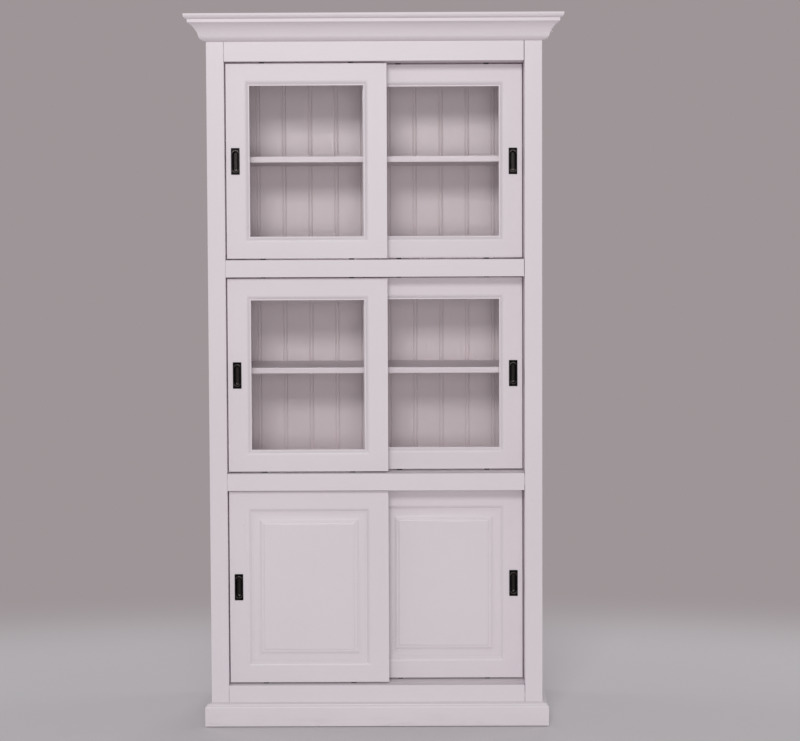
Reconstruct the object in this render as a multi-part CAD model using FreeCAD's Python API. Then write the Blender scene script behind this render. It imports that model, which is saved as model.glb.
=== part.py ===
import FreeCAD, Part
import os
from collections import namedtuple

# A tall white kitchen cabinet: a face frame and a boarded back round three tiers of
# by-passing sliding doors, the two upper tiers glazed and the lowest one panelled.
# Millimetres. X runs from left to right as seen from the front and Z up from the floor.
# While the pieces are made, Y is the depth behind the front of the face frame.
# They are saved with the origin under the middle of the whole cabinet.

Vector = FreeCAD.Vector

# Case
case_width = 1030.0
case_depth = 452.0
side_thickness = 18.0
deck_thickness = 20.0
deck_housing_depth = 6.0
side_tongue_length = 6.0
side_tongue_thickness = 6.0

# Face frame
frame_thickness = 22.0
stile_width = 54.0
bottom_rail_floor_gap = 20.0
bottom_rail_height = 107.0
tier_opening_height = 609.0
mid_rail_height = 53.0
top_rail_exposed_height = 60.0
rail_tenon_length = 30.0
rail_tenon_thickness = 8.0
rail_tenon_shoulder = 8.0

# Cornice. Its outline is shares of the projection and of the height, up from the soffit:
# a small flat, a round, a hollow, a fillet, a quarter round and a top fillet. A third share bows
# the side that leads to its point by that much of its length.
cornice_height = 80.0
cornice_projection = 63.0
cornice_outline_shares = [
    (0, 0),
    (0.03, 0),
    (0.32, 0.16, 0.1),
    (0.82, 0.68, -0.11),
    (0.82, 0.8),
    (1, 0.94, 0.17),
    (1, 1),
    (0, 1),
]

# Plinth. Its outline is a foot with an undercut in front of it, an eased edge, a plain face,
# a rounded nose, a step and a bevel.
plinth_height = 75.0
plinth_projection = 19.0
plinth_outline_shares = [
    (0, 0),
    (0.5, 0),
    (0.5, 0.024),
    (0.84, 0.024),
    (1, 0.064, 0.2),
    (1, 0.8),
    (0.7, 0.9, 0.12),
    (0.65, 0.94),
    (0, 1),
]

# Back of vertical tongued and grooved boards, beaded along their right edge. They are laid
# out from the middle of the case, and the outermost two are ripped to fit.
back_board_thickness = 12.0
back_rebate_width = 10.0
back_floor_gap = 40.0
board_cover_width = 86.3
board_least_width = 25.0
board_joint_gap = 0.6
board_tongue_length = 5.0
board_tongue_thickness = 4.0
board_vee = 2.0
board_bead_width = 10.0

# Screws that hold the back boards to the four cross boards
screw_head_diameter = 7.0
screw_head_height = 3.0
screw_shank_diameter = 3.5
screw_length = 32.0

# Tracks: two grooves in each deck and two above them
track_groove_width = 5.0
track_groove_depth = 3.0
top_groove_depth = 12.0
track_margin = 4.0

# Shelves and the pins that they lie on
shelf_thickness = 18.0
shelf_top_height = 322.0
shelf_front_gap = 2.0
shelf_side_gap = 1.0
shelf_back_gap = 1.0
pin_diameter = 5.0
pin_hole_depth = 10.0
pin_tab_reach = 10.0
pin_tab_width = 9.0
pin_inset = 45.0

# Sliding doors
door_thickness = 24.0
outer_door_setback = 2.0
door_spacing = 32.0
door_overlap = 76.0
door_side_gap = 3.0
door_top_gap = 4.5
door_bottom_gap = 4.5
door_stile_width = 72.0
door_rail_width = 67.5
door_tenon_length = 30.0
door_tenon_thickness = 8.0
door_tenon_shoulder = 8.0

# Moulding along the inner edge of each door frame: a round, a chamfer and a fillet
sticking_width = 16.0
sticking_depth = 7.0
sticking_outline_shares = [
    (0, 0),
    (0.42, 0.26, 0.05),
    (0.8, 1),
    (1, 1),
]

# Seat of the glass or panel behind the moulding
lip_thickness = 2.5
rebate_width = 9.0
glass_thickness = 4.0
bead_setback = 1.0
bead_nose = 3.0
bead_bow_share = 0.2

# Raised panel of the lowest doors: a flat, a cove, a flat and a slope up to the field
panel_edge_thickness = 6.0
panel_groove_clearance = 0.25
panel_expansion_gap = 1.0
panel_raise_width = 38.0
panel_raise_height = 9.0
panel_outline_shares = [
    (0, 0),
    (0.12, 0),
    (0.74, 0.66, -0.075),
    (0.87, 0.69),
    (1, 1),
]

# Flush pull
pull_inset = 28.5
pull_cup_width = 24.0
pull_cup_height = 70.0
pull_cup_depth = 13.0
pull_plate_side_border = 1.3
pull_plate_end_border = 6.0
pull_plate_thickness = 2.0
pull_corner_radius = 1.5
pull_rim_width = 3.0
pull_rim_height = 1.5
pull_rim_round_share = 0.8
pull_floor_thickness = 1.6
pull_dish_share = 0.27

# Gliders under the doors and guides above them
glider_inset = 111.0
glider_length = 16.0
glider_pad_width = 12.0
glider_peg_diameter = 8.0
glider_peg_length = 16.0
guide_reach_share = 0.5

# Fits
joint_clearance = 0.1
running_clearance = 0.3
overrun = 5.0

# Heights, up from the floor
bottom_deck_top = bottom_rail_floor_gap + bottom_rail_height
lower_deck_top = bottom_deck_top + tier_opening_height + mid_rail_height
upper_deck_top = lower_deck_top + tier_opening_height + mid_rail_height
cornice_bottom = upper_deck_top + tier_opening_height + top_rail_exposed_height
case_top = cornice_bottom + cornice_height
tier_bottoms = {"lower": bottom_deck_top, "middle": lower_deck_top, "upper": upper_deck_top}

# Widths, out from the middle of the case
case_half = case_width / 2
inside_half = case_half - side_thickness
opening_half = case_half - stile_width
back_half = inside_half + back_rebate_width
door_width = (2 * opening_half + door_overlap) / 2 - door_side_gap
door_height = tier_opening_height - door_top_gap - door_bottom_gap

# Depths, back from the front of the face frame
outer_door_front = frame_thickness + outer_door_setback
inner_door_front = outer_door_front + door_thickness + door_spacing
inner_door_back = inner_door_front + door_thickness
track_back = inner_door_back + track_margin
shelf_front = track_back + shelf_front_gap
back_front = case_depth - back_board_thickness
groove_depths = [front + door_thickness / 2 for front in (outer_door_front, inner_door_front)]

# Depth of the glass or panel behind the front of its door
seat_depth = sticking_depth + lip_thickness

Door = namedtuple("Door", "name left front bottom pull_at_left glazed")


def box(x_low, x_high, y_low, y_high, z_low, z_high):
    """Block between two corners."""
    return Part.makeBox(x_high - x_low, y_high - y_low, z_high - z_low, Vector(x_low, y_low, z_low))


def outline_face(points, place):
    """Face inside a closed outline. A third number bows the side that leads to its point."""
    sides = []
    for here, there in zip(points, points[1:] + points[:1]):
        start = place(here[0], here[1])
        end = place(there[0], there[1])
        if len(there) == 2:
            sides.append(Part.LineSegment(start, end).toShape())
        else:
            across = (here[0] + there[0]) / 2 + there[2] * (there[1] - here[1])
            along = (here[1] + there[1]) / 2 - there[2] * (there[0] - here[0])
            sides.append(Part.Arc(start, place(across, along), end).toShape())
    return Part.Face(Part.Wire(sides))


def scaled(shares, width, height):
    """Outline of a given width and height from its shares."""
    return [(point[0] * width, point[1] * height, *point[2:]) for point in shares]


def bar(points, place, travel):
    """Length of a profile: the outline at place, run along travel."""
    return outline_face(points, place).extrude(travel)


def stadium(x, z, width, height, y_low, y_high):
    """Upright slot shape with round ends, from y_low to y_high."""
    radius = width / 2
    straight = height / 2 - radius
    corners = [
        Vector(x - radius, y_low, z - straight),
        Vector(x, y_low, z - straight - radius),
        Vector(x + radius, y_low, z - straight),
        Vector(x + radius, y_low, z + straight),
        Vector(x, y_low, z + straight + radius),
        Vector(x - radius, y_low, z + straight),
    ]
    sides = [
        Part.Arc(corners[0], corners[1], corners[2]).toShape(),
        Part.LineSegment(corners[2], corners[3]).toShape(),
        Part.Arc(corners[3], corners[4], corners[5]).toShape(),
        Part.LineSegment(corners[5], corners[0]).toShape(),
    ]
    return Part.Face(Part.Wire(sides)).extrude(Vector(0, y_high - y_low, 0))


def along_y(x, z, y_low, y_high, diameter):
    """Round bar from front to back."""
    return Part.makeCylinder(diameter / 2, y_high - y_low, Vector(x, y_low, z), Vector(0, 1, 0))


def mirrored(shape):
    """The same piece for the other side of the cabinet."""
    return shape.mirror(Vector(0, 0, 0), Vector(1, 0, 0))


def moulding_set(shares, reach, bottom, height):
    """Front length and two returns of a moulding round the case, mitred at the front corners."""
    points = scaled(shares, reach, height)
    front_bar = bar(
        points,
        lambda out, up: Vector(-case_half - reach, -out, bottom + up),
        Vector(2 * (case_half + reach), 0, 0),
    )
    left_bar = bar(
        points,
        lambda out, up: Vector(-case_half - out, -reach, bottom + up),
        Vector(0, case_depth + reach, 0),
    )
    inner = case_half - overrun
    outer = case_half + reach + overrun
    ahead = -reach - overrun
    behind = case_depth + overrun
    front_plan = [(-inner, overrun), (inner, overrun), (outer, ahead), (-outer, ahead)]
    left_plan = [(-inner, overrun), (-outer, ahead), (-outer, behind), (-inner, behind)]
    rise = Vector(0, 0, height + 2 * overrun)
    front = front_bar.common(bar(front_plan, lambda x, y: Vector(x, y, bottom - overrun), rise))
    left = left_bar.common(bar(left_plan, lambda x, y: Vector(x, y, bottom - overrun), rise))
    return front, left, mirrored(left)


def cornice():
    """Crown moulding glued and pinned round the top of the case."""
    return moulding_set(cornice_outline_shares, cornice_projection, cornice_bottom, cornice_height)


def plinth():
    """Skirting round the foot of the case."""
    return moulding_set(plinth_outline_shares, plinth_projection, 0, plinth_height)


def face_rail_tenons(bottom, top, clearance):
    """The two tenons of a face rail, or their mortises when given a clearance."""
    y_low = (frame_thickness - rail_tenon_thickness) / 2 - clearance
    y_high = (frame_thickness + rail_tenon_thickness) / 2 + clearance
    z_low = bottom + rail_tenon_shoulder - clearance
    z_high = top - rail_tenon_shoulder + clearance
    tip = opening_half + rail_tenon_length + clearance
    left = box(-tip, -opening_half, y_low, y_high, z_low, z_high)
    return left, mirrored(left)


def face_rail_heights():
    """Bottom and top of each face rail."""
    return {
        "face_bottom_rail": (bottom_rail_floor_gap, bottom_deck_top),
        "face_lower_rail": (lower_deck_top - mid_rail_height, lower_deck_top),
        "face_upper_rail": (upper_deck_top - mid_rail_height, upper_deck_top),
        "face_top_rail": (cornice_bottom - top_rail_exposed_height, case_top),
    }


def face_rail(bottom, top):
    """Rail of the face frame, tenoned into both stiles."""
    rail = box(-opening_half, opening_half, 0, frame_thickness, bottom, top)
    for tenon in face_rail_tenons(bottom, top, 0):
        rail = rail.fuse(tenon)
    return rail.removeSplitter()


def side_tongue(clearance):
    """Tongue along the front edge of the left side, or its groove in the stile."""
    middle = case_half - side_thickness / 2
    half = side_tongue_thickness / 2 + clearance
    tip = frame_thickness - side_tongue_length - clearance
    return box(-middle - half, -middle + half, tip, frame_thickness, 0, case_top)


def face_stile_left():
    """Full-height stile, mortised for the rails and grooved for the side."""
    stile = box(-case_half, -opening_half, 0, frame_thickness, 0, case_top)
    for bottom, top in face_rail_heights().values():
        stile = stile.cut(face_rail_tenons(bottom, top, joint_clearance)[0])
    return stile.cut(side_tongue(joint_clearance))


def side_panel_left():
    """Side, housed for the cross boards, rebated for the back and bored for the shelf pins."""
    panel = box(-case_half, -inside_half, frame_thickness, case_depth, 0, case_top)
    panel = panel.fuse(side_tongue(0)).removeSplitter()
    housing_wall = -inside_half - deck_housing_depth - joint_clearance
    for top in cross_board_tops().values():
        panel = panel.cut(
            box(
                housing_wall,
                -inside_half + overrun,
                frame_thickness,
                back_front,
                top - deck_thickness,
                top,
            )
        )
    panel = panel.cut(
        box(-back_half, -inside_half + overrun, back_front, case_depth + overrun, back_floor_gap, case_top)
    )
    for x, y, z in pin_places():
        if x < 0:
            panel = panel.cut(pin_peg(x, y, z, joint_clearance))
    return panel


def cross_board_tops():
    """Top of each board that runs from side to side."""
    return {
        "bottom_deck": bottom_deck_top,
        "lower_deck": lower_deck_top,
        "upper_deck": upper_deck_top,
        "top_board": case_top,
    }


def cross_board(top, grooved):
    """Board housed in both sides. A deck has a groove for each row of gliders."""
    half = inside_half + deck_housing_depth
    board = box(-half, half, frame_thickness, back_front, top - deck_thickness, top)
    if grooved:
        for y in groove_depths:
            board = board.cut(track_groove(y, top - track_groove_depth, top + overrun))
    for x in board_middles():
        board = board.cut(screw(x, top - deck_thickness / 2, joint_clearance))
    return board


def track_groove(y, z_low, z_high):
    """Groove from one door post to the other."""
    half = track_groove_width / 2
    return box(-opening_half, opening_half, y - half, y + half, z_low, z_high)


def top_track_rails():
    """Rail with two grooves behind the head of each tier."""
    rails = []
    for bottom in tier_bottoms.values():
        head = bottom + tier_opening_height
        top = head + mid_rail_height - deck_thickness
        rail = box(-inside_half, inside_half, frame_thickness, track_back, head, top)
        for y in groove_depths:
            rail = rail.cut(track_groove(y, head - overrun, head + top_groove_depth))
        rails.append(rail)
    return rails


def door_posts():
    """Post behind each stile in each tier, which the doors close against."""
    posts = []
    for bottom in tier_bottoms.values():
        head = bottom + tier_opening_height
        left = box(-inside_half, -opening_half, frame_thickness, track_back, bottom, head)
        posts += [left, mirrored(left)]
    return posts


def board_edges():
    """Left and right edge of every back board."""
    joints_each_side = int((back_half - board_least_width) / board_cover_width + 1 / 2)
    joints = [(i + 1 / 2) * board_cover_width for i in range(-joints_each_side, joints_each_side)]
    edges = [-back_half, *joints, back_half]
    return list(zip(edges, edges[1:]))


def board_middles():
    """Middle of every back board."""
    return [(left + right) / 2 for left, right in board_edges()]


def back_board(left, right, first, last):
    """One board, with a round bead and a tongue along its right edge and a groove in its left one."""
    tongue_front = (back_board_thickness - board_tongue_thickness) / 2
    tongue_back = tongue_front + board_tongue_thickness
    near = left if first else left + board_joint_gap
    bead = right - board_bead_width
    crown_bow = board_vee / board_bead_width
    points = [
        (near, board_vee),
        (near + board_vee, 0),
        (bead - board_vee, 0),
        (bead, board_vee),
        (right, board_vee, crown_bow),
    ]
    if not last:
        points += [
            (right, tongue_front),
            (right + board_tongue_length, tongue_front),
            (right + board_tongue_length, tongue_back),
            (right, tongue_back),
        ]
    points += [(right, back_board_thickness), (near, back_board_thickness)]
    if not first:
        wall = left + board_tongue_length + joint_clearance
        points += [
            (near, tongue_back + joint_clearance),
            (wall, tongue_back + joint_clearance),
            (wall, tongue_front - joint_clearance),
            (near, tongue_front - joint_clearance),
        ]
    return bar(
        points,
        lambda x, y: Vector(x, back_front + y, back_floor_gap),
        Vector(0, 0, case_top - back_floor_gap),
    )


def back_boards():
    """The whole back, bored for its screws."""
    boards = []
    for left, right in board_edges():
        board = back_board(left, right, left == -back_half, right == back_half)
        for top in cross_board_tops().values():
            board = board.cut(screw((left + right) / 2, top - deck_thickness / 2, joint_clearance))
        boards.append(board)
    return boards


def screw(x, z, clearance):
    """Countersunk screw driven from the back, or its hole when given a clearance."""
    tip = case_depth - screw_length - clearance
    shank = along_y(x, z, tip, case_depth, screw_shank_diameter + 2 * clearance)
    head = Part.makeCone(
        screw_head_diameter / 2 + clearance,
        screw_shank_diameter / 2 + clearance,
        screw_head_height,
        Vector(x, case_depth, z),
        Vector(0, -1, 0),
    )
    return shank.fuse(head).removeSplitter()


def back_board_screws():
    """One screw for each back board in each cross board."""
    heights = [top - deck_thickness / 2 for top in cross_board_tops().values()]
    return [screw(x, z, 0) for z in heights for x in board_middles()]


def shelf_tops():
    """Top of the shelf in each tier."""
    return {tier: bottom + shelf_top_height for tier, bottom in tier_bottoms.items()}


def shelf(top):
    """Loose shelf on four pins."""
    half = inside_half - shelf_side_gap
    return box(-half, half, shelf_front, back_front - shelf_back_gap, top - shelf_thickness, top)


def pin_places():
    """Wall point of each shelf pin: its side of the case, its depth and its axis."""
    places = []
    for top in shelf_tops().values():
        axis = top - shelf_thickness - pin_diameter / 2
        for y in (shelf_front + pin_inset, back_front - pin_inset):
            places += [(-inside_half, y, axis), (inside_half, y, axis)]
    return places


def pin_peg(x, y, z, clearance):
    """The part of a pin that sits in the side, or its hole when given a clearance."""
    outwards = -1 if x < 0 else 1
    radius = pin_diameter / 2 + clearance
    return Part.makeCylinder(radius, pin_hole_depth + clearance, Vector(x, y, z), Vector(outwards, 0, 0))


def shelf_pins():
    """Steel pins with a flat tab under the shelf."""
    pins = []
    for x, y, z in pin_places():
        inner = x - pin_tab_reach if x > 0 else x + pin_tab_reach
        tab = box(
            min(x, inner),
            max(x, inner),
            y - pin_tab_width / 2,
            y + pin_tab_width / 2,
            z - pin_diameter / 2,
            z + pin_diameter / 2,
        )
        pins.append(tab.fuse(pin_peg(x, y, z, 0)).removeSplitter())
    return pins


def frame_section(width, glazed):
    """Section of a door stile or rail, from its outer edge inwards and from front to back."""
    flat = width - sticking_width
    moulding = scaled(sticking_outline_shares, sticking_width, sticking_depth)
    points = [(0, 0)]
    points += [(flat + point[0], point[1], *point[2:]) for point in moulding]
    points += [(width, seat_depth), (width - rebate_width, seat_depth)]
    if glazed:
        points += [(width - rebate_width, door_thickness)]
    else:
        groove_back = seat_depth + panel_edge_thickness + 2 * panel_groove_clearance
        points += [
            (width - rebate_width, groove_back),
            (width, groove_back),
            (width, door_thickness),
        ]
    return points + [(0, door_thickness)]


def plain_door_stile(door, at_left):
    """Moulded length of a door stile before it is mortised."""
    edge = door.left if at_left else door.left + door_width
    inwards = 1 if at_left else -1
    return bar(
        frame_section(door_stile_width, door.glazed),
        lambda across, back: Vector(edge + inwards * across, door.front + back, door.bottom),
        Vector(0, 0, door_height),
    )


def door_tenon(door, at_left, at_bottom, clearance):
    """Tenon at one end of a door rail, or its mortise when given a clearance."""
    tip = door_stile_width - door_tenon_length - clearance
    root = door_stile_width - rebate_width
    if at_left:
        x_low, x_high = door.left + tip, door.left + root
    else:
        x_low, x_high = door.left + door_width - root, door.left + door_width - tip
    foot = door_tenon_shoulder - clearance
    head = door_rail_width - rebate_width - door_tenon_shoulder + clearance
    if at_bottom:
        z_low, z_high = door.bottom + foot, door.bottom + head
    else:
        z_low, z_high = door.bottom + door_height - head, door.bottom + door_height - foot
    y_low = door.front + seat_depth - clearance
    y_high = door.front + seat_depth + door_tenon_thickness + clearance
    return box(x_low, x_high, y_low, y_high, z_low, z_high)


def door_stiles(door):
    """Left and right stile, mortised for the rails; one is also cut out for the pull."""
    stiles = []
    for at_left in (True, False):
        stile = plain_door_stile(door, at_left)
        for at_bottom in (True, False):
            stile = stile.cut(door_tenon(door, at_left, at_bottom, joint_clearance))
        if at_left == door.pull_at_left:
            x, z = pull_middle(door)
            stile = stile.cut(
                stadium(
                    x,
                    z,
                    pull_cup_width + 2 * joint_clearance,
                    pull_cup_height + 2 * joint_clearance,
                    door.front - overrun,
                    door.front + pull_cup_depth + joint_clearance,
                )
            )
        stiles.append(stile)
    return stiles


def door_rails(door):
    """Bottom and top rail, scribed over the moulding of the stiles and tenoned into them."""
    flat = door_stile_width - sticking_width
    rails = []
    for at_bottom in (True, False):
        edge = door.bottom if at_bottom else door.bottom + door_height
        inwards = 1 if at_bottom else -1
        rail = bar(
            frame_section(door_rail_width, door.glazed),
            lambda across, back: Vector(door.left + flat, door.front + back, edge + inwards * across),
            Vector(door_width - 2 * flat, 0, 0),
        )
        for at_left in (True, False):
            rail = rail.cut(plain_door_stile(door, at_left))
            rail = rail.fuse(door_tenon(door, at_left, at_bottom, 0))
        rail = rail.removeSplitter()
        for x in glider_places(door):
            rail = rail.cut(glider_peg(door, x, at_bottom, joint_clearance))
        rails.append(rail)
    return rails


def seat_corners(door, inset):
    """Left, right, bottom and top of the seat for glass or panel, less an inset."""
    across = door_stile_width - rebate_width + inset
    up = door_rail_width - rebate_width + inset
    return (
        door.left + across,
        door.left + door_width - across,
        door.bottom + up,
        door.bottom + door_height - up,
    )


def door_glass(door):
    """Clear pane against the front lip of the frame."""
    left, right, bottom, top = seat_corners(door, joint_clearance)
    front = door.front + seat_depth
    return box(left, right, front, front + glass_thickness, bottom, top)


def glazing_beads(door):
    """Four mitred beads that hold the pane from behind."""
    left, right, bottom, top = seat_corners(door, 0)
    glass_back = door.front + seat_depth + glass_thickness
    width = rebate_width - bead_setback
    depth = door_thickness - seat_depth - glass_thickness
    section = [(0, 0), (width, 0), (width, bead_nose), (bead_nose, depth, bead_bow_share), (0, depth)]
    sweep = Vector(0, depth + 2 * overrun, 0)
    near = glass_back - overrun
    reach = width + overrun
    across = [
        (left - overrun, bottom - overrun),
        (right + overrun, bottom - overrun),
        (right - reach, bottom + reach),
        (left + reach, bottom + reach),
    ]
    upright = [
        (left - overrun, bottom - overrun),
        (left + reach, bottom + reach),
        (left + reach, top - reach),
        (left - overrun, top + overrun),
    ]
    bottom_bead = bar(
        section,
        lambda inwards, back: Vector(left, glass_back + back, bottom + inwards),
        Vector(right - left, 0, 0),
    ).common(bar(across, lambda x, z: Vector(x, near, z), sweep))
    left_bead = bar(
        section,
        lambda inwards, back: Vector(left + inwards, glass_back + back, bottom),
        Vector(0, 0, top - bottom),
    ).common(bar(upright, lambda x, z: Vector(x, near, z), sweep))
    middle = Vector((left + right) / 2, 0, (bottom + top) / 2)
    top_bead = bottom_bead.mirror(middle, Vector(0, 0, 1))
    right_bead = left_bead.mirror(middle, Vector(1, 0, 0))
    return [bottom_bead, top_bead, left_bead, right_bead]


def raised_panel(door):
    """Panel in the groove of the frame, moulded round its raised field."""
    left, right, bottom, top = seat_corners(door, panel_expansion_gap)
    edge_front = seat_depth + panel_groove_clearance
    panel_back = edge_front + panel_edge_thickness
    field = edge_front - panel_raise_height
    sight = rebate_width - panel_expansion_gap
    panel = box(left, right, door.front + field, door.front + panel_back, bottom, top)
    above = field - overrun
    cutter = [(-overrun, above), (-overrun, edge_front)]
    for point in scaled(panel_outline_shares, panel_raise_width, panel_raise_height):
        cutter.append((sight + point[0], edge_front - point[1], *point[2:]))
    cutter.append((sight + panel_raise_width, above))
    upright = Vector(0, 0, top - bottom + 2 * overrun)
    level = Vector(right - left + 2 * overrun, 0, 0)
    for place, travel in [
        (lambda s, d: Vector(left + s, door.front + d, bottom - overrun), upright),
        (lambda s, d: Vector(right - s, door.front + d, bottom - overrun), upright),
        (lambda s, d: Vector(left - overrun, door.front + d, bottom + s), level),
        (lambda s, d: Vector(left - overrun, door.front + d, top - s), level),
    ]:
        panel = panel.cut(bar(cutter, place, travel))
    return panel


def pull_middle(door):
    """X and Z of the middle of a door's pull."""
    x = door.left + pull_inset if door.pull_at_left else door.left + door_width - pull_inset
    return x, door.bottom + door_height / 2


def pull_plate(x, z, y_low, y_high):
    """Plate of a pull, with rounded corners."""
    half_width = pull_cup_width / 2 + pull_plate_side_border
    half_height = pull_cup_height / 2 + pull_plate_end_border
    plate = box(x - half_width, x + half_width, y_low, y_high, z - half_height, z + half_height)
    corners = [edge for edge in plate.Edges if edge.BoundBox.YLength > edge.BoundBox.XLength]
    corners = [edge for edge in corners if edge.BoundBox.YLength > edge.BoundBox.ZLength]
    return plate.makeFillet(pull_corner_radius, corners)


def flush_pull(door):
    """Cast flush pull: a plate with a rounded oval rim round a dished finger recess."""
    x, z = pull_middle(door)
    plate_front = door.front - pull_plate_thickness
    plate = pull_plate(x, z, plate_front, door.front)
    rim_front = plate_front - pull_rim_height
    body = stadium(x, z, pull_cup_width, pull_cup_height, rim_front, door.front + pull_cup_depth)
    rim_edges = [edge for edge in body.Edges if edge.BoundBox.YMax < plate_front]
    body = body.makeFillet(pull_rim_height * pull_rim_round_share, rim_edges)
    recess_width = pull_cup_width - 2 * pull_rim_width
    recess_height = pull_cup_height - 2 * pull_rim_width
    floor = door.front + pull_cup_depth - pull_floor_thickness
    recess = stadium(x, z, recess_width, recess_height, rim_front - overrun, floor)
    floor_edges = [edge for edge in recess.Edges if edge.BoundBox.YMin > door.front]
    recess = recess.makeFillet(recess_width * pull_dish_share, floor_edges)
    return plate.fuse(body).removeSplitter().cut(recess)


def glider_places(door):
    """X of the two gliders and guides of a door."""
    return [door.left + glider_inset, door.left + door_width - glider_inset]


def glider_peg(door, x, at_bottom, clearance):
    """Peg of a glider or guide in the door's edge, or its hole when given a clearance."""
    edge = door.bottom if at_bottom else door.bottom + door_height
    radius = glider_peg_diameter / 2 + clearance
    into = Vector(0, 0, 1 if at_bottom else -1)
    return Part.makeCylinder(
        radius, glider_peg_length + clearance, Vector(x, door.front + door_thickness / 2, edge), into
    )


def door_gliders(door):
    """Two gliders that carry the door in the deck's groove and two guides in the groove above."""
    y = door.front + door_thickness / 2
    half_pad = glider_pad_width / 2
    half_blade = track_groove_width / 2 - running_clearance
    door_top = door.bottom + door_height
    pad_foot = door.bottom - door_bottom_gap + running_clearance
    blade_foot = pad_foot - track_groove_depth
    guide_head = door_top + door_top_gap + top_groove_depth * guide_reach_share
    pieces = []
    for x in glider_places(door):
        x_low = x - glider_length / 2
        x_high = x + glider_length / 2
        glider = box(x_low, x_high, y - half_pad, y + half_pad, pad_foot, door.bottom)
        glider = glider.fuse(box(x_low, x_high, y - half_blade, y + half_blade, blade_foot, door.bottom))
        glider = glider.fuse(glider_peg(door, x, True, 0)).removeSplitter()
        guide = box(x_low, x_high, y - half_blade, y + half_blade, door_top, guide_head)
        guide = guide.fuse(glider_peg(door, x, False, 0)).removeSplitter()
        pieces += [glider, guide]
    return pieces


def doors():
    """The six doors: in each tier the left one is on the outer track, the right one behind it."""
    made = []
    for tier, deck_top in tier_bottoms.items():
        glazed = tier != "lower"
        bottom = deck_top + door_bottom_gap
        left = -opening_half + door_side_gap
        right = opening_half - door_side_gap - door_width
        made.append(Door(f"{tier}_left_door", left, outer_door_front, bottom, True, glazed))
        made.append(Door(f"{tier}_right_door", right, inner_door_front, bottom, False, glazed))
    return made


def carcass_nodes():
    """Every fixed piece, by name."""
    nodes = {}
    nodes["side_panel_left"] = side_panel_left()
    nodes["side_panel_right"] = mirrored(nodes["side_panel_left"])
    nodes["face_stile_left"] = face_stile_left()
    nodes["face_stile_right"] = mirrored(nodes["face_stile_left"])
    for name, (bottom, top) in face_rail_heights().items():
        nodes[name] = face_rail(bottom, top)
    for name, top in cross_board_tops().items():
        nodes[name] = cross_board(top, name != "top_board")
    for tier, top in shelf_tops().items():
        nodes[f"{tier}_shelf"] = shelf(top)
    nodes["shelf_pins"] = shelf_pins()
    nodes["back_boards"] = back_boards()
    nodes["back_board_screws"] = back_board_screws()
    nodes["top_track_rails"] = top_track_rails()
    nodes["door_posts"] = door_posts()
    nodes["cornice_front"], nodes["cornice_left_return"], nodes["cornice_right_return"] = cornice()
    nodes["plinth_front"], nodes["plinth_left_return"], nodes["plinth_right_return"] = plinth()
    return nodes


def door_nodes(door):
    """Every piece of one door, by name."""
    nodes = {
        f"{door.name}_stiles": door_stiles(door),
        f"{door.name}_rails": door_rails(door),
        f"{door.name}_pull": flush_pull(door),
        f"{door.name}_gliders": door_gliders(door),
    }
    if door.glazed:
        nodes[f"{door.name}_glass"] = door_glass(door)
        nodes[f"{door.name}_beads"] = glazing_beads(door)
    else:
        nodes[f"{door.name}_panel"] = raised_panel(door)
    return nodes


def save(nodes):
    """Writes each node, moved so that the origin lies under the middle of the cabinet."""
    os.makedirs("parts", exist_ok=True)
    shift = Vector(0, (cornice_projection - case_depth) / 2, 0)
    for name, made in nodes.items():
        shape = Part.makeCompound(made) if isinstance(made, list) else made
        shape = shape.copy()
        shape.translate(shift)
        shape.exportStep(f"parts/{name}.step")


save(carcass_nodes())
for sliding_door in doors():
    save(door_nodes(sliding_door))
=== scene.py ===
import math

import bpy
from mathutils import Matrix, Vector


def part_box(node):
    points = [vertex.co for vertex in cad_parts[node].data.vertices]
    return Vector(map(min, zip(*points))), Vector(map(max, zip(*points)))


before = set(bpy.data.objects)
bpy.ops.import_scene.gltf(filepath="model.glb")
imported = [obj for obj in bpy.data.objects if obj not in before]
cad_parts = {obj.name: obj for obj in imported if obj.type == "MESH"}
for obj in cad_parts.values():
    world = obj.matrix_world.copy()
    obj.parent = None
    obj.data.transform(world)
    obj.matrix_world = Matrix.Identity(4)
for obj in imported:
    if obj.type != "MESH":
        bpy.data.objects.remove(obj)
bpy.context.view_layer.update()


# Sides
# Each side is one wide painted board. The face frame is glued to its front edge, the cross
# boards are housed in it and the back boards lie in a rebate along its back edge.

SIDES = ("left", "right")
PAINT = (0.70, 0.645, 0.68)
RUBBED_PAINT = (0.63, 0.575, 0.60)
UNDERCOAT = (0.47, 0.41, 0.40)
NOISE_MIDDLE = (0.3, 0.7)
STROKES_ALONG = 14.0
STROKES_ACROSS = 620.0
STROKE_SHADE = 0.4
STROKE_RELIEF = 0.00006
CLOUD_SCALE = 2.3
CLOUD_SHADE = 0.8
PATCH_SCALE = 26.0
PATCH_SHADE = 0.3
PATCH_RELIEF = 0.6
SPECK_SCALE = 190.0
SHADE_STEP = 0.03
THIN_START = 0.70
THIN_FULL = 0.82
THIN_WHERE_RUBBED = 0.2
BARE_START = 0.83
BARE_FULL = 0.87
BARE_WHERE_RUBBED = 0.16
SMOOTH_STROKE = 0.36
DULL_STROKE = 0.46
CLOUD_DULLNESS = 0.04
PAINT_UNEVENNESS = 0.5
EDGE_RUBBING = 0.6
EASED_EDGE = 0.0008
FINE_EDGE = 0.0004
SHARP_ANGLE = math.radians(30)
WELD_REACH = 0.00001


def new_group(name, inputs, outputs):
    """Node group with no nodes but its input and output."""
    group = bpy.data.node_groups.new(name, "ShaderNodeTree")
    for label, kind, value in inputs:
        socket = group.interface.new_socket(label, in_out="INPUT", socket_type="NodeSocket" + kind)
        socket.default_value = value
    for label, kind in outputs:
        group.interface.new_socket(label, in_out="OUTPUT", socket_type="NodeSocket" + kind)
    return group, group.nodes.new("NodeGroupInput"), group.nodes.new("NodeGroupOutput")


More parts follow.
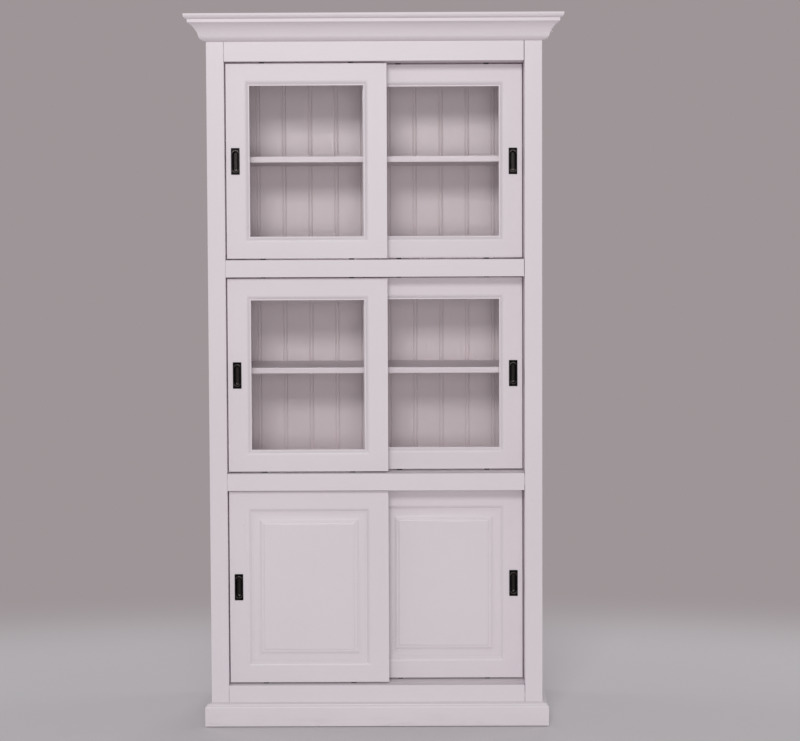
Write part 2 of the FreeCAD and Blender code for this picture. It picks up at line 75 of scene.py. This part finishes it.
def noise(tree, vector, scale, detail=3.0, roughness=0.55):
    """Noise over a vector, about a half."""
    node = tree.nodes.new("ShaderNodeTexNoise")
    node.inputs["Scale"].default_value = scale
    node.inputs["Detail"].default_value = detail
    node.inputs["Roughness"].default_value = roughness
    tree.links.new(vector, node.inputs["Vector"])
    return node.outputs["Fac"]


def ranged(tree, value, low, high, to_low, to_high):
    """The value, moved from one range to another and held at its ends."""
    node = tree.nodes.new("ShaderNodeMapRange")
    node.inputs["From Min"].default_value = low
    node.inputs["From Max"].default_value = high
    node.inputs["To Min"].default_value = to_low
    node.inputs["To Max"].default_value = to_high
    tree.links.new(value, node.inputs["Value"])
    return node.outputs["Result"]


def spread(tree, value, to_low, to_high):
    """The middle range of a noise, stretched between two limits."""
    return ranged(tree, value, *NOISE_MIDDLE, to_low, to_high)


def mask(tree, value, none_at, full_at):
    """0 up to the first limit of a value and 1 beyond the second."""
    return ranged(tree, value, none_at, full_at, 0.0, 1.0)


def maths(tree, operation, *values):
    """Maths node on sockets and numbers."""
    node = tree.nodes.new("ShaderNodeMath")
    node.operation = operation
    for socket, value in zip(node.inputs, values):
        if isinstance(value, (int, float)):
            socket.default_value = value
        else:
            tree.links.new(value, socket)
    return node.outputs["Value"]


def mixed(tree, share, first, second):
    """Blend of two colours, each a socket or a colour."""
    node = tree.nodes.new("ShaderNodeMix")
    node.data_type = "RGBA"
    tree.links.new(share, node.inputs["Factor"])
    for socket, value in ((node.inputs["A"], first), (node.inputs["B"], second)):
        if isinstance(value, tuple):
            socket.default_value = (*value, 1)
        else:
            tree.links.new(value, socket)
    return node.outputs["Result"]


def new_material(name):
    """Material, its node tree, its surface and a place on the piece."""
    material = bpy.data.materials.new(name)
    material.use_nodes = True
    tree = material.node_tree
    place = tree.nodes.new("ShaderNodeTexCoord").outputs["Object"]
    return material, tree, tree.nodes["Principled BSDF"], place


def stretched(tree, place, scales, angles=(0, 0, 0)):
    """Place on the piece, turned and then scaled along each axis."""
    node = tree.nodes.new("ShaderNodeMapping")
    node.inputs["Rotation"].default_value = angles
    node.inputs["Scale"].default_value = scales
    tree.links.new(place, node.inputs["Vector"])
    return node.outputs["Vector"]


def relieve(tree, height, depth):
    """Gives a surface a fine relief of the given depth."""
    node = tree.nodes.new("ShaderNodeBump")
    node.inputs["Distance"].default_value = depth
    tree.links.new(height, node.inputs["Height"])
    tree.links.new(node.outputs["Normal"], tree.nodes["Principled BSDF"].inputs["Normal"])


def brushed_coat_group():
    """Brush strokes in a coat of paint: their colour, gloss and relief."""
    group, given, made = new_group(
        "brushed_coat",
        [
            ("Strokes", "Vector", (0, 0, 0)),
            ("Place", "Vector", (0, 0, 0)),
            ("Paint", "Color", (*PAINT, 1)),
            ("Unevenness", "Float", PAINT_UNEVENNESS),
            ("Rubbing", "Float", 0.0),
        ],
        [("Color", "Color"), ("Roughness", "Float"), ("Height", "Float")],
    )
    strokes = noise(group, given.outputs["Strokes"], 1.0, detail=3.0, roughness=0.6)
    clouds = noise(group, given.outputs["Place"], CLOUD_SCALE)
    patches = noise(group, given.outputs["Place"], PATCH_SCALE, detail=4.0, roughness=0.6)
    specks = noise(group, given.outputs["Place"], SPECK_SCALE, detail=2.0, roughness=0.5)
    rubbing = given.outputs["Rubbing"]

    light = spread(group, strokes, -STROKE_SHADE, STROKE_SHADE)
    drift = spread(group, clouds, -CLOUD_SHADE, CLOUD_SHADE)
    mottle = spread(group, patches, -PATCH_SHADE, PATCH_SHADE)
    total = maths(group, "ADD", maths(group, "ADD", light, drift), mottle)
    total = maths(group, "MULTIPLY", total, given.outputs["Unevenness"])
    brightness = maths(group, "MULTIPLY_ADD", total, SHADE_STEP, 1.0)
    tinted = group.nodes.new("ShaderNodeVectorMath")
    tinted.operation = "SCALE"
    group.links.new(given.outputs["Paint"], tinted.inputs[0])
    group.links.new(brightness, tinted.inputs["Scale"])

    thin = maths(group, "MULTIPLY_ADD", rubbing, THIN_WHERE_RUBBED, patches)
    thin = mask(group, thin, THIN_START, THIN_FULL)
    thinned = mixed(group, thin, tinted.outputs["Vector"], RUBBED_PAINT)
    bare = maths(group, "MULTIPLY_ADD", rubbing, BARE_WHERE_RUBBED, specks)
    bare = mask(group, bare, BARE_START, BARE_FULL)
    group.links.new(mixed(group, bare, thinned, UNDERCOAT), made.inputs["Color"])

    dullness = spread(group, strokes, SMOOTH_STROKE, DULL_STROKE)
    dullness = maths(group, "ADD", dullness, spread(group, clouds, -CLOUD_DULLNESS, CLOUD_DULLNESS))
    group.links.new(dullness, made.inputs["Roughness"])
    group.links.new(maths(group, "MULTIPLY_ADD", patches, PATCH_RELIEF, strokes), made.inputs["Height"])
    return group


BRUSHED_COAT = brushed_coat_group()


def painted(name, along, paint=PAINT, unevenness=PAINT_UNEVENNESS, rubbing=0.0):
    """Eggshell paint, brushed on along the named axes."""
    material, tree, surface, place = new_material(name)
    scales = [STROKES_ALONG if axis in along else STROKES_ACROSS for axis in "XYZ"]
    coat = tree.nodes.new("ShaderNodeGroup")
    coat.name = "coat"
    coat.node_tree = BRUSHED_COAT
    coat.inputs["Paint"].default_value = (*paint, 1)
    coat.inputs["Unevenness"].default_value = unevenness
    coat.inputs["Rubbing"].default_value = rubbing
    tree.links.new(stretched(tree, place, scales), coat.inputs["Strokes"])
    tree.links.new(place, coat.inputs["Place"])
    tree.links.new(coat.outputs["Color"], surface.inputs["Base Color"])
    tree.links.new(coat.outputs["Roughness"], surface.inputs["Roughness"])
    relieve(tree, coat.outputs["Height"], STROKE_RELIEF)
    return material


def dress(node, face, edge, radius=EASED_EDGE):
    """Gives a piece its finish on its faces, and another on its edges, which are eased."""
    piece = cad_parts[node]
    piece.material_slots[0].material = face
    piece.data.materials.append(edge)
    weld = piece.modifiers.new("weld", "WELD")
    weld.merge_threshold = WELD_REACH
    ease = piece.modifiers.new("ease", "BEVEL")
    ease.width = radius
    ease.segments = 2
    ease.limit_method = "ANGLE"
    ease.angle_limit = SHARP_ANGLE
    ease.material = 1
    piece.modifiers.new("shade", "WEIGHTED_NORMAL")


upright_paint = painted("upright_paint", "Z")
edge_paint = painted("edge_paint", "XYZ", rubbing=EDGE_RUBBING)

for side in SIDES:
    dress(f"side_panel_{side}", upright_paint, edge_paint)


# Cross boards
# Four boards run from side to side: three grooved decks that the doors slide on, and the
# top board. They are glued into housings in the sides and painted along their length.

level_paint = painted("level_paint", "X")

for node in ("bottom_deck", "lower_deck", "upper_deck", "top_board"):
    dress(node, level_paint, edge_paint)


# Face frame
# Two full-height stiles and four rails, joined with glued mortises and tenons. The paint
# has cracked along the shoulder of each joint, and the right ends have opened the most.

CRACK_WIDTH = 0.0008
CRACK_DEPTH = 0.0003
CRACK_COLOUR = (0.10, 0.085, 0.085)
CRACK_SOFTNESS = 0.2
CRACK_NOISE = 24.0
FAINT_UNDER = 0.51
FULL_OVER = 0.66
FAINT_CRACK = 0.15
FULL_CRACK = 0.95
LESS_BROKEN_WHERE_OPEN = 0.08
OPENING_X = (-0.4, 0.4)
OPENING_Z = (0.7, 2.0)
OPENED_AT_RIGHT = 1.8
OPENED_BELOW = 0.45


def crack_group():
    """Crack at both ends of a rail, broken in places, and opened the most at the top right."""
    group, given, made = new_group(
        "crack",
        [("Place", "Vector", (0, 0, 0)), ("Shoulder", "Float", 0.0)],
        [("Line", "Float")],
    )
    parts = group.nodes.new("ShaderNodeSeparateXYZ")
    group.links.new(given.outputs["Place"], parts.inputs["Vector"])
    out = maths(group, "ABSOLUTE", parts.outputs["X"])
    inside = maths(group, "SUBTRACT", given.outputs["Shoulder"], out)
    rightwards = ranged(group, parts.outputs["X"], *OPENING_X, 0.0, OPENED_AT_RIGHT)
    upwards = ranged(group, parts.outputs["Z"], *OPENING_Z, OPENED_BELOW, 1.0)
    opened = maths(group, "MULTIPLY_ADD", rightwards, upwards, 1.0)
    near = maths(group, "DIVIDE", inside, maths(group, "MULTIPLY", opened, CRACK_WIDTH))
    line = mask(group, near, 1.0 + CRACK_SOFTNESS, 1.0 - CRACK_SOFTNESS)
    breaks = noise(group, given.outputs["Place"], CRACK_NOISE)
    breaks = maths(group, "MULTIPLY_ADD", opened, LESS_BROKEN_WHERE_OPEN, breaks)
    strength = ranged(group, breaks, FAINT_UNDER, FULL_OVER, FAINT_CRACK, FULL_CRACK)
    group.links.new(maths(group, "MULTIPLY", line, strength), made.inputs["Line"])
    return group


CRACK = crack_group()


def crack_at(material, shoulder):
    """Adds the cracks to both ends of a painted rail."""
    tree = material.node_tree
    surface = tree.nodes["Principled BSDF"]
    coat = tree.nodes["coat"]
    crack = tree.nodes.new("ShaderNodeGroup")
    crack.node_tree = CRACK
    crack.inputs["Shoulder"].default_value = shoulder
    tree.links.new(coat.inputs["Place"].links[0].from_socket, crack.inputs["Place"])
    line = crack.outputs["Line"]
    tree.links.new(mixed(tree, line, coat.outputs["Color"], CRACK_COLOUR), surface.inputs["Base Color"])
    sunk = tree.nodes.new("ShaderNodeBump")
    sunk.invert = True
    sunk.inputs["Distance"].default_value = CRACK_DEPTH
    tree.links.new(line, sunk.inputs["Height"])
    tree.links.new(surface.inputs["Normal"].links[0].from_socket, sunk.inputs["Normal"])
    tree.links.new(sunk.outputs["Normal"], surface.inputs["Normal"])
    return material


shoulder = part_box("face_stile_right")[0].x
rail_paint = crack_at(painted("rail_paint", "X"), shoulder)
rail_edge_paint = crack_at(painted("rail_edge_paint", "XYZ", rubbing=EDGE_RUBBING), shoulder)

for side in SIDES:
    dress(f"face_stile_{side}", upright_paint, edge_paint)
for level in ("top", "upper", "lower", "bottom"):
    dress(f"face_{level}_rail", rail_paint, rail_edge_paint)


# Tracks and door posts
# A rail with two grooves lies behind the head of each tier and guides the tops of the
# doors. A post behind each stile stops them. All are glued in. Their paint is a warmer,
# slightly darker copy of the outside paint, as painted shade and painted warm light inside the case.

# Painted shade and warm light: a pinker, slightly darker copy of PAINT for the pieces inside the case
SHADED_INNER_PAINT = (0.70, 0.615, 0.655)
shaded_inner_level_paint = painted("shaded_inner_level_paint", "X", paint=SHADED_INNER_PAINT)
shaded_inner_upright_paint = painted("shaded_inner_upright_paint", "Z", paint=SHADED_INNER_PAINT)

dress("top_track_rails", shaded_inner_level_paint, edge_paint)
dress("door_posts", shaded_inner_upright_paint, edge_paint)


# Back boards
# Thirteen upright boards, tongued and grooved, with a round bead beside each joint. They
# are screwed on from behind and painted in place. Their paint is darker and pinker than
# the outside paint, as painted shade and painted warm light at the back of the case.

# Painted shade and warm light: darker and pinker than PAINT, for the back of the case
SHADED_BOARD_PAINT = (0.70, 0.60, 0.63)
BOARD_UNEVENNESS = 0.9
shaded_board_paint = painted("shaded_board_paint", "Z", paint=SHADED_BOARD_PAINT, unevenness=BOARD_UNEVENNESS)

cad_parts["back_boards"].material_slots[0].material = shaded_board_paint


# Screws of the back
# Countersunk zinc-plated steel screws, driven through the back boards into the cross
# boards. The plating is a little cloudy and finely scratched.

ZINC = (0.60, 0.60, 0.59)
CLOUDED_ZINC = (0.44, 0.44, 0.42)
BRIGHT_ZINC_DULLNESS = 0.24
CLOUDED_ZINC_DULLNESS = 0.48
ZINC_CLOUD_SCALE = 420.0
ZINC_CLOUD_START = 0.4
ZINC_CLOUD_FULL = 0.65
ZINC_SCRATCH_SCALE = 2600.0
ZINC_SCRATCH_DEPTH = 0.00004
SCREW_EDGE = 0.0002


def plated(name):
    """Zinc plating, clouded and finely scratched."""
    material, tree, surface, place = new_material(name)
    surface.inputs["Metallic"].default_value = 1.0
    cloud = noise(tree, place, ZINC_CLOUD_SCALE, detail=4.0, roughness=0.6)
    clouded = mask(tree, cloud, ZINC_CLOUD_START, ZINC_CLOUD_FULL)
    tree.links.new(mixed(tree, clouded, ZINC, CLOUDED_ZINC), surface.inputs["Base Color"])
    dullness = spread(tree, cloud, BRIGHT_ZINC_DULLNESS, CLOUDED_ZINC_DULLNESS)
    tree.links.new(dullness, surface.inputs["Roughness"])
    scratches = noise(tree, place, ZINC_SCRATCH_SCALE, detail=2.0, roughness=0.7)
    relieve(tree, scratches, ZINC_SCRATCH_DEPTH)
    return material


zinc = plated("zinc")
dress("back_board_screws", zinc, zinc, radius=SCREW_EDGE)


# Cornice
# Crown moulding in three lengths, mitred at the front corners, and glued and pinned round
# the top of the case. The front is brushed along X and the returns along Y.

inward_paint = painted("inward_paint", "Y")

dress("cornice_front", level_paint, edge_paint, radius=FINE_EDGE)
for side in SIDES:
    dress(f"cornice_{side}_return", inward_paint, edge_paint, radius=FINE_EDGE)


# Plinth
# Skirting in three mitred lengths round the foot of the case. Mops and shoes have dulled
# and scuffed its lower edge.

SCUFF_COLOUR = (0.42, 0.38, 0.37)
SCUFF_HEIGHT = 0.075
SCUFF_STRETCH = (9.0, 9.0, 60.0)
SCUFF_START = 0.5
SCUFF_FULL = 0.72
SCUFFED_FACE = 0.3
SCUFFED_EDGE = 0.6
DUST_SCALE = 11.0
LEAST_DUST = 0.1
MOST_DUST = 0.35
PLINTH_EDGE_RUBBING = 0.8


def scuff_group():
    """Scuffs and dust that thin out with the height above the floor."""
    group, given, made = new_group(
        "scuff",
        [("Place", "Vector", (0, 0, 0)), ("Amount", "Float", SCUFFED_FACE)],
        [("Mask", "Float")],
    )
    parts = group.nodes.new("ShaderNodeSeparateXYZ")
    group.links.new(given.outputs["Place"], parts.inputs["Vector"])
    low = ranged(group, parts.outputs["Z"], 0.0, SCUFF_HEIGHT, 1.0, 0.0)
    marks = stretched(group, given.outputs["Place"], SCUFF_STRETCH)
    marks = noise(group, marks, 1.0, detail=5.0, roughness=0.65)
    marks = mask(group, marks, SCUFF_START, SCUFF_FULL)
    dust = spread(group, noise(group, given.outputs["Place"], DUST_SCALE), LEAST_DUST, MOST_DUST)
    total = maths(group, "MULTIPLY", maths(group, "ADD", marks, dust), maths(group, "MULTIPLY", low, low))
    group.links.new(maths(group, "MULTIPLY", total, given.outputs["Amount"]), made.inputs["Mask"])
    return group


SCUFF = scuff_group()


def scuffed(material, amount=SCUFFED_FACE):
    """Adds the scuffs of the floor to a painted piece."""
    tree = material.node_tree
    coat = tree.nodes["coat"]
    scuff = tree.nodes.new("ShaderNodeGroup")
    scuff.node_tree = SCUFF
    scuff.inputs["Amount"].default_value = amount
    tree.links.new(coat.inputs["Place"].links[0].from_socket, scuff.inputs["Place"])
    colour = mixed(tree, scuff.outputs["Mask"], coat.outputs["Color"], SCUFF_COLOUR)
    tree.links.new(colour, tree.nodes["Principled BSDF"].inputs["Base Color"])
    return material


plinth_edge_paint = painted("plinth_edge_paint", "XYZ", rubbing=PLINTH_EDGE_RUBBING)
plinth_edge_paint = scuffed(plinth_edge_paint, SCUFFED_EDGE)
plinth_return_paint = scuffed(painted("plinth_return_paint", "Y"))

dress("plinth_front", scuffed(painted("plinth_paint", "X")), plinth_edge_paint, radius=FINE_EDGE)
for side in SIDES:
    dress(f"plinth_{side}_return", plinth_return_paint, plinth_edge_paint, radius=FINE_EDGE)


# Shelves and their pins
# One loose shelf in each tier, painted all round, lies on four zinc-plated pins that are
# pushed into holes in the sides.

TIERS = ("lower", "middle", "upper")
PIN_EDGE = 0.0003

# The shelves take the pinker, darker inside paint, as painted shade.
for tier in TIERS:
    dress(f"{tier}_shelf", shaded_inner_level_paint, edge_paint)
dress("shelf_pins", zinc, zinc, radius=PIN_EDGE)


# Door frames
# Two stiles and two rails for each of the six doors, moulded along the inner edge, coped
# and tenoned. Their joints are filled and painted over.

DOORS = [f"{tier}_{side}_door" for tier in TIERS for side in SIDES]

for door in DOORS:
    dress(f"{door}_stiles", upright_paint, edge_paint, radius=FINE_EDGE)
    dress(f"{door}_rails", level_paint, edge_paint, radius=FINE_EDGE)


# Raised panels
# The lowest doors have a solid panel, moulded round a raised field. It lies loose in the
# groove of the frame.

for side in SIDES:
    dress(f"lower_{side}_door_panel", upright_paint, edge_paint, radius=FINE_EDGE)


# Panes
# Clear float glass 4 mm thick, held against the lip of the frame. It has been wiped, and
# the wiping shows only as a trace of dullness.

PANE_COLOUR = (0.97, 0.985, 0.98)
PANE_IOR = 1.5
WIPE_ANGLE = math.radians(35)
WIPE_STRETCH = (6.0, 1.0, 40.0)
SMEAR_START = 0.45
SMEAR_FULL = 0.8
SMEAR_DULLNESS = 0.03


def blend_shaders(tree, share, first, second, output):
    """Blends two shaders into the surface of an output node."""
    node = tree.nodes.new("ShaderNodeMixShader")
    tree.links.new(share, node.inputs["Fac"])
    tree.links.new(first, node.inputs[1])
    tree.links.new(second, node.inputs[2])
    tree.links.new(node.outputs["Shader"], tree.nodes[output].inputs["Surface"])


def clear_glass():
    """Clear glass that lets the light of the lamps through to the shelves."""
    material, tree, surface, place = new_material("clear_glass")
    surface.inputs["Base Color"].default_value = (*PANE_COLOUR, 1)
    surface.inputs["IOR"].default_value = PANE_IOR
    surface.inputs["Transmission Weight"].default_value = 1.0
    smears = stretched(tree, place, WIPE_STRETCH, (0, WIPE_ANGLE, 0))
    smears = noise(tree, smears, 1.0, detail=4.0, roughness=0.6)
    dullness = ranged(tree, smears, SMEAR_START, SMEAR_FULL, 0.0, SMEAR_DULLNESS)
    tree.links.new(dullness, surface.inputs["Roughness"])
    passing = tree.nodes.new("ShaderNodeBsdfTransparent")
    path = tree.nodes.new("ShaderNodeLightPath")
    either = maths(tree, "MAXIMUM", path.outputs["Is Shadow Ray"], path.outputs["Is Diffuse Ray"])
    blend_shaders(tree, either, surface.outputs["BSDF"], passing.outputs["BSDF"], "Material Output")
    return material


glass = clear_glass()
GLAZED_DOORS = [door for door in DOORS if not door.startswith("lower")]

for door in GLAZED_DOORS:
    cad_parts[f"{door}_glass"].material_slots[0].material = glass


# Glazing beads
# Four small painted beads, mitred at the corners and pinned behind each pane.

BEAD_EDGE = 0.0003

# The beads take the pinker, darker inside paint, as painted shade.
for door in GLAZED_DOORS:
    dress(f"{door}_beads", shaded_inner_level_paint, edge_paint, radius=BEAD_EDGE)


# Pulls
# Cast flush pulls with a near-black patina, let into the outer stile of each door. Fingers
# have worn the dish. The ends of the oval rim and the dish's lower end are painted lighter
# as highlights.

PATINA = (0.004, 0.0032, 0.0036)
WORN_PATINA = (0.045, 0.039, 0.038)
# Painted highlight: a lighter bronze on the ends of each pull's rim
RIM_HIGHLIGHT_BRONZE = (0.15, 0.125, 0.118)
# Painted highlight: a lighter bronze at the lower end of each pull's dish
DISH_HIGHLIGHT_BRONZE = (0.24, 0.21, 0.20)
BRONZE_METAL = 0.7
BRONZE_SHEEN = 0.25
BRONZE_SMOOTH = 0.26
BRONZE_DULL = 0.42
RIM_HIGHLIGHT_SHINE = 0.06
MOTTLE_SCALE = 260.0
MOTTLE_FULL = 0.6
CAST_GRAIN_SCALE = 1500.0
CAST_GRAIN_DEPTH = 0.00005
RIM_WIDTH = 0.003
RIM_HALF_WIDTH = 0.012
RIM_BORDER = 0.006
RIM_CORE = 0.2  # shares of the rim's width, from its middle line
RIM_FADE = 0.6
RIM_SIDES_HIGHLIGHT = 0.1
RIM_END = 0.6  # share of the oval's half width, from where its end begins
DISH_HIGHLIGHT_START = -0.023  # heights above the middle of the pull
DISH_HIGHLIGHT_FULL = -0.028
DISH_HIGHLIGHT_CORE = 0.3  # shares of the oval's half width
DISH_HIGHLIGHT_FADE = 0.6

plate_low, plate_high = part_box("lower_right_door_pull")
pull_x = (plate_low.x + plate_high.x) / 2
pull_z = (plate_low.z + plate_high.z) / 2
pull_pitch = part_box("middle_right_door_pull")[0].z - plate_low.z
rim_half_height = (plate_high.z - plate_low.z) / 2 - RIM_BORDER


def rim_group():
    """Masks of the dish inside a pull's oval rim, and of the painted highlights on the rim's ends and at
    the dish's lower end.
    """
    group, given, made = new_group(
        "rim",
        [("Place", "Vector", (0, 0, 0))],
        [("Rim", "Float"), ("Dish", "Float"), ("Lower End", "Float")],
    )
    parts = group.nodes.new("ShaderNodeSeparateXYZ")
    group.links.new(given.outputs["Place"], parts.inputs["Vector"])
    aside = maths(group, "SUBTRACT", maths(group, "ABSOLUTE", parts.outputs["X"]), pull_x)
    rise = maths(group, "SUBTRACT", parts.outputs["Z"], pull_z)
    rise = maths(group, "WRAP", rise, pull_pitch / 2, -pull_pitch / 2)
    beyond = maths(group, "SUBTRACT", maths(group, "ABSOLUTE", rise), rim_half_height - RIM_HALF_WIDTH)
    beyond = maths(group, "MAXIMUM", beyond, 0.0)
    squares = maths(group, "MULTIPLY_ADD", aside, aside, maths(group, "MULTIPLY", beyond, beyond))
    reach = maths(group, "SQRT", squares)
    off = maths(group, "ABSOLUTE", maths(group, "SUBTRACT", reach, RIM_HALF_WIDTH - RIM_WIDTH / 2))
    rim = mask(group, off, RIM_WIDTH * RIM_FADE, RIM_WIDTH * RIM_CORE)
    # The rim is painted lighter at its ends than on its sides, as highlights.
    ends = ranged(group, beyond, 0.0, RIM_HALF_WIDTH * RIM_END, RIM_SIDES_HIGHLIGHT, 1.0)
    group.links.new(maths(group, "MULTIPLY", rim, ends), made.inputs["Rim"])
    group.links.new(mask(group, reach, RIM_HALF_WIDTH - RIM_WIDTH, 0.0), made.inputs["Dish"])
    # The lower end of the dish is masked for a painted highlight.
    inside = mask(group, reach, RIM_HALF_WIDTH * DISH_HIGHLIGHT_FADE, RIM_HALF_WIDTH * DISH_HIGHLIGHT_CORE)
    lower_end = mask(group, rise, DISH_HIGHLIGHT_START, DISH_HIGHLIGHT_FULL)
    group.links.new(maths(group, "MULTIPLY", inside, lower_end), made.inputs["Lower End"])
    return group


def patchy(tree, wear, mottle, start, least):
    """Mask of wear, made weaker in patches."""
    return maths(tree, "MULTIPLY", wear, ranged(tree, mottle, start, MOTTLE_FULL, least, 1.0))


def patinated(name):
    """Dark patina on cast bronze, worn in the dish, with painted highlights on the ends of the rim and at
    the dish's lower end.
    """
    material, tree, surface, place = new_material(name)
    surface.inputs["Metallic"].default_value = BRONZE_METAL
    surface.inputs["Specular IOR Level"].default_value = BRONZE_SHEEN
    rim = tree.nodes.new("ShaderNodeGroup")
    rim.node_tree = rim_group()
    tree.links.new(place, rim.inputs["Place"])
    mottle = noise(tree, place, MOTTLE_SCALE, detail=4.0, roughness=0.6)
    worn = patchy(tree, rim.outputs["Dish"], mottle, start=0.3, least=0.5)
    # The ends of the rim are painted lighter, as highlights.
    rim_highlight = patchy(tree, rim.outputs["Rim"], mottle, start=0.35, least=0.25)
    # The lower end of the dish is painted lighter, as a highlight.
    dish_highlight = patchy(tree, rim.outputs["Lower End"], mottle, start=0.4, least=0.3)
    patina = mixed(tree, worn, PATINA, WORN_PATINA)
    patina = mixed(tree, dish_highlight, patina, DISH_HIGHLIGHT_BRONZE)
    tree.links.new(mixed(tree, rim_highlight, patina, RIM_HIGHLIGHT_BRONZE), surface.inputs["Base Color"])
    dullness = spread(tree, mottle, BRONZE_SMOOTH, BRONZE_DULL)
    dullness = maths(tree, "MULTIPLY_ADD", rim_highlight, -RIM_HIGHLIGHT_SHINE, dullness)
    tree.links.new(dullness, surface.inputs["Roughness"])
    grain = noise(tree, place, CAST_GRAIN_SCALE, detail=2.0, roughness=0.6)
    relieve(tree, grain, CAST_GRAIN_DEPTH)
    return material


bronze = patinated("dark_bronze")
for door in DOORS:
    dress(f"{door}_pull", bronze, bronze, radius=FINE_EDGE)


# Gliders and guides
# Black nylon blocks pegged into the lower edge of each door run in the groove of the deck,
# and two guides in its upper edge run in the track. Sliding has scuffed them lengthways.

NYLON = (0.014, 0.014, 0.015)
SCUFFED_NYLON = (0.045, 0.045, 0.047)
NYLON_SCUFF_STRETCH = (60.0, 1400.0, 1400.0)
NYLON_SCUFF_START = 0.5
NYLON_SCUFF_FULL = 0.75
NYLON_SCUFF_DEPTH = 0.00005
NYLON_SMOOTH = 0.42
NYLON_DULL = 0.62
NYLON_EDGE = 0.0003


def moulded_nylon(name):
    """Matt nylon with scuffs along X."""
    material, tree, surface, place = new_material(name)
    scuffs = stretched(tree, place, NYLON_SCUFF_STRETCH)
    scuffs = noise(tree, scuffs, 1.0, detail=3.0, roughness=0.6)
    marked = mask(tree, scuffs, NYLON_SCUFF_START, NYLON_SCUFF_FULL)
    tree.links.new(mixed(tree, marked, NYLON, SCUFFED_NYLON), surface.inputs["Base Color"])
    tree.links.new(spread(tree, scuffs, NYLON_SMOOTH, NYLON_DULL), surface.inputs["Roughness"])
    relieve(tree, scuffs, NYLON_SCUFF_DEPTH)
    return material


nylon = moulded_nylon("black_nylon")
for door in DOORS:
    dress(f"{door}_gliders", nylon, nylon, radius=NYLON_EDGE)


# Floor, light and camera
# A pale floor that fades into a plain backdrop, a soft main lamp above the camera, a weak
# one beside it and one below, others at the sides and the back, and the photograph's camera.

FLOOR_COLOUR = (0.66, 0.63, 0.655)
FLOOR_DULLNESS = 0.8
FLOOR_RADIUS = 9.0
WALL_COLOUR = (0.34, 0.30, 0.31)
FADE_START = 0.8
FADE_END = 2.1
FADE_SHAPE = (0.5, 1, 1)

bpy.ops.mesh.primitive_circle_add(vertices=128, radius=FLOOR_RADIUS, fill_type="NGON")
floor = bpy.context.object
floor.name = "floor"
floor_material, tree, surface, place = new_material("floor")
surface.inputs["Base Color"].default_value = (*FLOOR_COLOUR, 1)
surface.inputs["Roughness"].default_value = FLOOR_DULLNESS
oval = tree.nodes.new("ShaderNodeVectorMath")
oval.operation = "MULTIPLY"
oval.inputs[1].default_value = FADE_SHAPE
tree.links.new(place, oval.inputs[0])
reach = tree.nodes.new("ShaderNodeVectorMath")
reach.operation = "LENGTH"
tree.links.new(oval.outputs["Vector"], reach.inputs[0])
fade = tree.nodes.new("ShaderNodeMapRange")
fade.interpolation_type = "SMOOTHERSTEP"
fade.inputs["From Min"].default_value = FADE_START
fade.inputs["From Max"].default_value = FADE_END
tree.links.new(reach.outputs["Value"], fade.inputs["Value"])
haze = tree.nodes.new("ShaderNodeEmission")
haze.inputs["Color"].default_value = (*WALL_COLOUR, 1)
blend_shaders(
    tree,
    fade.outputs["Result"],
    surface.outputs["BSDF"],
    haze.outputs["Emission"],
    "Material Output",
)
floor.data.materials.append(floor_material)

ROOM_LIGHT = 0.31

world = bpy.data.worlds.new("studio")
bpy.context.scene.world = world
world.use_nodes = True
tree = world.node_tree
room = tree.nodes["Background"]
room.inputs["Color"].default_value = (1, 1, 1, 1)
room.inputs["Strength"].default_value = ROOM_LIGHT
wall = tree.nodes.new("ShaderNodeBackground")
wall.inputs["Color"].default_value = (*WALL_COLOUR, 1)
path = tree.nodes.new("ShaderNodeLightPath")
blend_shaders(
    tree,
    path.outputs["Is Camera Ray"],
    room.outputs["Background"],
    wall.outputs["Background"],
    "World Output",
)


def lamp(name, place, aim, size, watts, in_gloss=False):
    """Soft rectangular lamp that the camera does not see, directly or through glass."""
    data = bpy.data.lights.new(name, "AREA")
    data.shape = "RECTANGLE"
    data.size, data.size_y = size
    data.energy = watts
    made = bpy.data.objects.new(name, data)
    bpy.context.scene.collection.objects.link(made)
    made.location = place
    made.rotation_euler = (Vector(aim) - Vector(place)).to_track_quat("-Z", "Y").to_euler()
    made.visible_camera = False
    made.visible_transmission = False
    made.visible_glossy = in_gloss
    return made


FRONT_SPREAD = math.radians(120)

front_lamp = lamp("front_lamp", (0.3, -6.5, 1.55), (0, -0.2, 2.0), size=(1.4, 1.4), watts=28)
front_lamp.data.spread = FRONT_SPREAD
lamp("low_lamp", (0.3, -5.6, 1.0), (0, 0, 0.6), size=(2.0, 0.8), watts=46)
lamp("top_lamp", (-0.5, -6.2, 3.5), (0, -0.2, 0.9), size=(1.6, 1.0), watts=126, in_gloss=True)
lamp("left_lamp", (-3.8, 1.2, 1.7), (0, 0, 1.1), size=(1.8, 1.8), watts=25)
lamp("right_lamp", (3.8, 1.2, 1.7), (0, 0, 1.1), size=(1.8, 1.8), watts=25)
lamp("back_lamp", (0.6, 4.5, 2.0), (0, 0, 1.1), size=(1.8, 1.8), watts=50)

PICTURE_WIDTH = 800
FOCAL_PIXELS = 1870.0
SHIFT_PIXELS = -45.0
CAMERA_PLACE = (0.1059, -5.9552, 1.5264)
CAMERA_HEADING = math.radians(0.294)
CAMERA_TILT = math.radians(90 - 2.769)
CAMERA_ROLL = math.radians(-0.249)

lens = bpy.data.cameras.new("camera")
lens.lens = FOCAL_PIXELS / PICTURE_WIDTH * lens.sensor_width
lens.shift_y = SHIFT_PIXELS / PICTURE_WIDTH
camera = bpy.data.objects.new("camera", lens)
bpy.context.scene.collection.objects.link(camera)
heading = Matrix.Rotation(CAMERA_HEADING, 4, "Z")
tilt = Matrix.Rotation(CAMERA_TILT, 4, "X")
roll = Matrix.Rotation(CAMERA_ROLL, 4, "Z")
camera.matrix_world = Matrix.Translation(CAMERA_PLACE) @ heading @ tilt @ roll
bpy.context.scene.camera = camera
bpy.context.scene.view_settings.view_transform = "Standard"
